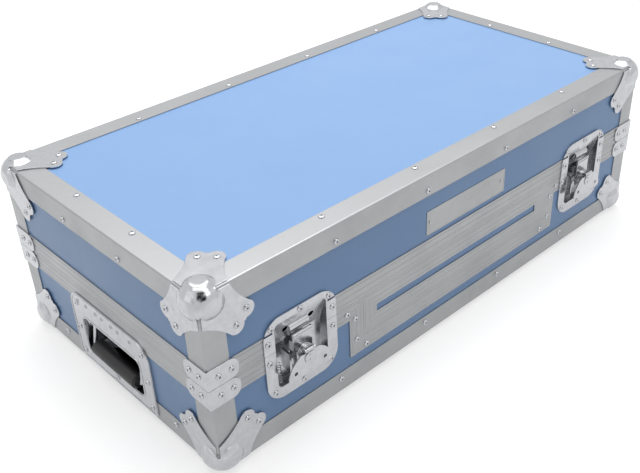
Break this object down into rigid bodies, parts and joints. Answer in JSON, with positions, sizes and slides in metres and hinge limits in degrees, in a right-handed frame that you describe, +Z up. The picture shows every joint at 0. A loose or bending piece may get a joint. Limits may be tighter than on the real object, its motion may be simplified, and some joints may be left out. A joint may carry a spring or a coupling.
{
  "type": "DJ mixer flight case",
  "caption": "Flat equipment flight case with a lift-off lid, ball corners, recessed twist latches, sprung end handles and a removable front panel.",
  "frame": {"origin": "on the ground under the middle of the case, which stands on the flats of its lower ball corners", "axes": "+X along the case towards the right end, -Y out of the front with the removable panel, +Z up"},
  "size_m": [0.8246, 0.4402, 0.255],
  "materials": {
    "laminate_board": "light blue smooth laminate over plywood",
    "aluminium_extrusion": "satin anodised extrusion",
    "plated_steel": "bright zinc-plated pressed steel",
    "moulded_grip": "matt black moulded grip",
    "black_foam": "open-cell black foam"
  },
  "bodies": {
    "base": {"base_floor": "laminate_board", "base_edge_frame": "aluminium_extrusion", "base_corner_posts": "aluminium_extrusion", "base_ball_corners": "plated_steel", "base_seam_braces": "plated_steel", "opening_frame": "aluminium_extrusion", "base_floor_foam": "black_foam", "base_wall_foam": "black_foam", "base_front_wall": "laminate_board", "base_front_rail": "aluminium_extrusion", "base_right_wall": "laminate_board", "base_right_rail": "aluminium_extrusion", "base_rear_wall": "laminate_board", "base_rear_rail": "aluminium_extrusion", "base_left_wall": "laminate_board", "base_left_rail": "aluminium_extrusion", "front_left_latch_dish": "plated_steel", "front_right_latch_dish": "plated_steel", "rear_left_latch_dish": "plated_steel", "rear_right_latch_dish": "plated_steel", "left_handle_dish": "plated_steel", "right_handle_dish": "plated_steel"},
    "lid": {"lid_top": "laminate_board", "lid_edge_frame": "aluminium_extrusion", "lid_corner_posts": "aluminium_extrusion", "lid_ball_corners": "plated_steel", "lid_seam_braces": "plated_steel", "lid_rails": "aluminium_extrusion", "lid_foam": "black_foam", "lid_front_wall": "laminate_board", "lid_right_wall": "laminate_board", "lid_rear_wall": "laminate_board", "lid_left_wall": "laminate_board", "front_left_keeper_dish": "plated_steel", "front_right_keeper_dish": "plated_steel", "rear_left_keeper_dish": "plated_steel", "rear_right_keeper_dish": "plated_steel"},
    "access_panel": {"access_panel_board": "laminate_board", "access_panel_rails": "aluminium_extrusion"},
    "front_left_latch_spindle": {"front_left_latch_spindle": "plated_steel"},
    "front_left_latch_wing": {"front_left_latch_wing": "plated_steel"},
    "front_left_latch_tongue": {"front_left_latch_tongue": "plated_steel"},
    "front_right_latch_spindle": {"front_right_latch_spindle": "plated_steel"},
    "front_right_latch_wing": {"front_right_latch_wing": "plated_steel"},
    "front_right_latch_tongue": {"front_right_latch_tongue": "plated_steel"},
    "rear_left_latch_spindle": {"rear_left_latch_spindle": "plated_steel"},
    "rear_left_latch_wing": {"rear_left_latch_wing": "plated_steel"},
    "rear_left_latch_tongue": {"rear_left_latch_tongue": "plated_steel"},
    "rear_right_latch_spindle": {"rear_right_latch_spindle": "plated_steel"},
    "rear_right_latch_wing": {"rear_right_latch_wing": "plated_steel"},
    "rear_right_latch_tongue": {"rear_right_latch_tongue": "plated_steel"},
    "left_handle": {"left_handle_bail": "plated_steel", "left_handle_grip": "moulded_grip"},
    "right_handle": {"right_handle_bail": "plated_steel", "right_handle_grip": "moulded_grip"}
  },
  "joints": [
    {"name": "lid_lift", "type": "slide", "parent": "base", "child": "lid", "axis": [0, 0, 1], "range_m": [0, 0.26]},
    {"name": "access_panel_slide", "type": "slide", "parent": "base", "child": "access_panel", "axis": [0, 0, 1], "range_m": [0, 0.13]},
    {"name": "front_left_latch_twist", "type": "hinge", "parent": "base", "child": "front_left_latch_spindle", "pos_m": [-0.2775, -0.204, 0.11], "axis": [0, -1, 0], "range_deg": [0, 180]},
    {"name": "front_left_wing_fold", "type": "hinge", "parent": "front_left_latch_spindle", "child": "front_left_latch_wing", "pos_m": [-0.2775, -0.2175, 0.117], "axis": [-1, 0, 0], "range_deg": [0, 90]},
    {"name": "front_left_tongue_slide", "type": "slide", "parent": "base", "child": "front_left_latch_tongue", "axis": [0, 0, 1], "range_m": [0, 0.009]},
    {"name": "front_right_latch_twist", "type": "hinge", "parent": "base", "child": "front_right_latch_spindle", "pos_m": [0.2775, -0.204, 0.11], "axis": [0, -1, 0], "range_deg": [0, 180]},
    {"name": "front_right_wing_fold", "type": "hinge", "parent": "front_right_latch_spindle", "child": "front_right_latch_wing", "pos_m": [0.2775, -0.2175, 0.117], "axis": [-1, 0, 0], "range_deg": [0, 90]},
    {"name": "front_right_tongue_slide", "type": "slide", "parent": "base", "child": "front_right_latch_tongue", "axis": [0, 0, 1], "range_m": [0, 0.009]},
    {"name": "rear_left_latch_twist", "type": "hinge", "parent": "base", "child": "rear_left_latch_spindle", "pos_m": [-0.2775, 0.204, 0.11], "axis": [0, 1, 0], "range_deg": [0, 180]},
    {"name": "rear_left_wing_fold", "type": "hinge", "parent": "rear_left_latch_spindle", "child": "rear_left_latch_wing", "pos_m": [-0.2775, 0.2175, 0.117], "axis": [1, 0, 0], "range_deg": [0, 90]},
    {"name": "rear_left_tongue_slide", "type": "slide", "parent": "base", "child": "rear_left_latch_tongue", "axis": [0, 0, 1], "range_m": [0, 0.009]},
    {"name": "rear_right_latch_twist", "type": "hinge", "parent": "base", "child": "rear_right_latch_spindle", "pos_m": [0.2775, 0.204, 0.11], "axis": [0, 1, 0], "range_deg": [0, 180]},
    {"name": "rear_right_wing_fold", "type": "hinge", "parent": "rear_right_latch_spindle", "child": "rear_right_latch_wing", "pos_m": [0.2775, 0.2175, 0.117], "axis": [1, 0, 0], "range_deg": [0, 90]},
    {"name": "rear_right_tongue_slide", "type": "slide", "parent": "base", "child": "rear_right_latch_tongue", "axis": [0, 0, 1], "range_m": [0, 0.009]},
    {"name": "left_handle_swing", "type": "hinge", "parent": "base", "child": "left_handle", "pos_m": [-0.397, 0, 0.072], "axis": [0, 1, 0], "range_deg": [0, 90], "stiffness_Nm_per_rad": 0.3},
    {"name": "right_handle_swing", "type": "hinge", "parent": "base", "child": "right_handle", "pos_m": [0.397, 0, 0.072], "axis": [0, -1, 0], "range_deg": [0, 90], "stiffness_Nm_per_rad": 0.3}
  ],
  "couplings": [
    {"joint": "access_panel_slide", "follows": "lid_lift", "ratio": 0.5},
    {"joint": "front_left_tongue_slide", "follows": "front_left_latch_twist", "m_per_rad": 0.002864},
    {"joint": "front_right_tongue_slide", "follows": "front_right_latch_twist", "m_per_rad": 0.002864},
    {"joint": "rear_left_tongue_slide", "follows": "rear_left_latch_twist", "m_per_rad": 0.002864},
    {"joint": "rear_right_tongue_slide", "follows": "rear_right_latch_twist", "m_per_rad": 0.002864}
  ]
}
